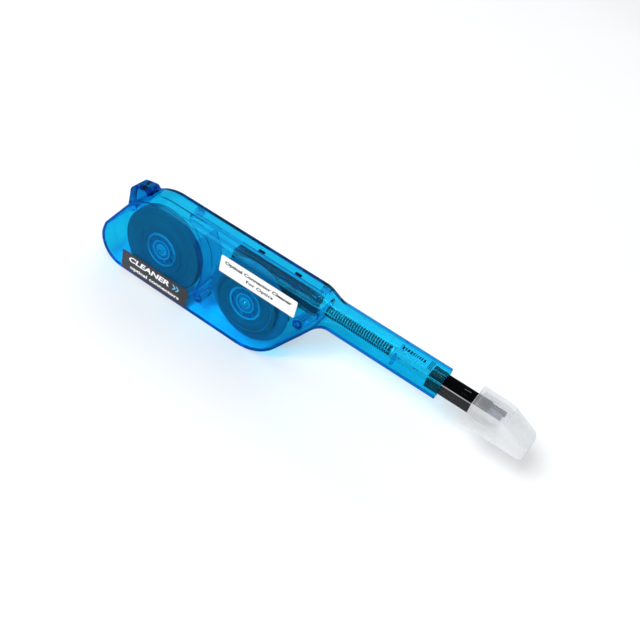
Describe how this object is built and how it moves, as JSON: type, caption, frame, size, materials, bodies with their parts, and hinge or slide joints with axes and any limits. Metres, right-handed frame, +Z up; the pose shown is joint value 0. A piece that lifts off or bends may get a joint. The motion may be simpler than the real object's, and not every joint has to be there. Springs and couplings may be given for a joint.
{
  "type": "lens cleaning pen",
  "caption": "Push-to-click cleaning pen: a clear two-part casing holds tape reels, a rack and gear drive and a sprung nose whose tip wipes optical faces, under a push-on cap.",
  "frame": {"origin": "centre of the bounding box, on the flat lower edge of the casing that it stands on", "axes": "+X along the pen towards the tip, +Z up, the labelled face towards -Y"},
  "size_m": [0.2336, 0.018, 0.0499],
  "materials": {
    "blue_shell": "clear blue moulded plastic, glossy",
    "black_plastic": "glossy black moulded plastic",
    "tape": "woven micro-fibre tape seen through blue plastic, matt",
    "reel_plastic": "moulded plastic, satin",
    "gear_plastic": "moulded acetal, satin",
    "screw_steel": "plated steel",
    "spring_steel": "dark spring steel",
    "grey_plastic": "grey-blue moulded plastic, satin",
    "frosted_cap": "frosted translucent plastic",
    "white_label": null,
    "dark_label": null
  },
  "bodies": {
    "casing": {"near_shell": "blue_shell", "far_shell": "blue_shell", "shell_screw_rear": "screw_steel", "shell_screw_middle": "screw_steel", "shell_screw_front": "screw_steel", "supply_axle": "screw_steel", "takeup_axle": "screw_steel", "supply_brake_washer": "spring_steel", "backstop_pawl": "spring_steel", "feed_tape": "tape", "return_tape": "tape", "return_spring": "spring_steel", "white_label": "white_label", "dark_label": "dark_label"},
    "plunger": {"rack_slider": "black_plastic", "plunger_rod": "gear_plastic", "nose_tube": "black_plastic", "head_spring": "spring_steel"},
    "tip": {"tip_head": "grey_plastic", "tip_tape": "tape"},
    "cap": {"dust_cap": "frosted_cap"},
    "gear": {"drive_gear": "gear_plastic", "pawl_ring": "spring_steel"},
    "takeup": {"takeup_reel": "reel_plastic", "takeup_tape_roll": "tape", "ratchet_wheel": "gear_plastic"},
    "supply": {"supply_reel": "reel_plastic", "supply_tape_roll": "tape"}
  },
  "joints": [
    {"name": "nose_slide", "type": "slide", "parent": "casing", "child": "plunger", "axis": [1, 0, 0], "range_m": [-0.012, 0], "stiffness_N_per_m": 350, "springref_m": 0.01, "deforming": ["return_spring", "feed_tape", "return_tape"]},
    {"name": "head_float", "type": "slide", "parent": "plunger", "child": "tip", "axis": [1, 0, 0], "range_m": [-0.0015, 0], "stiffness_N_per_m": 1500, "springref_m": 0.002, "deforming": ["head_spring"]},
    {"name": "cap_slide", "type": "slide", "parent": "plunger", "child": "cap", "axis": [1, 0, 0], "range_m": [0, 0.03]},
    {"name": "drive_gear_spin", "type": "hinge", "parent": "casing", "child": "gear", "pos_m": [-0.02755, 0, 0.0257], "axis": [0, 1, 0], "range_deg": [-66, 0.5]},
    {"name": "takeup_spin", "type": "hinge", "parent": "casing", "child": "takeup", "pos_m": [-0.02755, 0, 0.0257], "axis": [0, 1, 0], "range_deg": [-66, 0.5]},
    {"name": "supply_spin", "type": "hinge", "parent": "casing", "child": "supply", "pos_m": [-0.07945, 0, 0.025], "axis": [0, 1, 0], "range_deg": [-0.5, 51]}
  ],
  "couplings": [
    {"joint": "drive_gear_spin", "follows": "nose_slide", "rad_per_m": 95.238},
    {"joint": "takeup_spin", "follows": "nose_slide", "rad_per_m": 95.238},
    {"joint": "supply_spin", "follows": "nose_slide", "rad_per_m": -72.279}
  ]
}
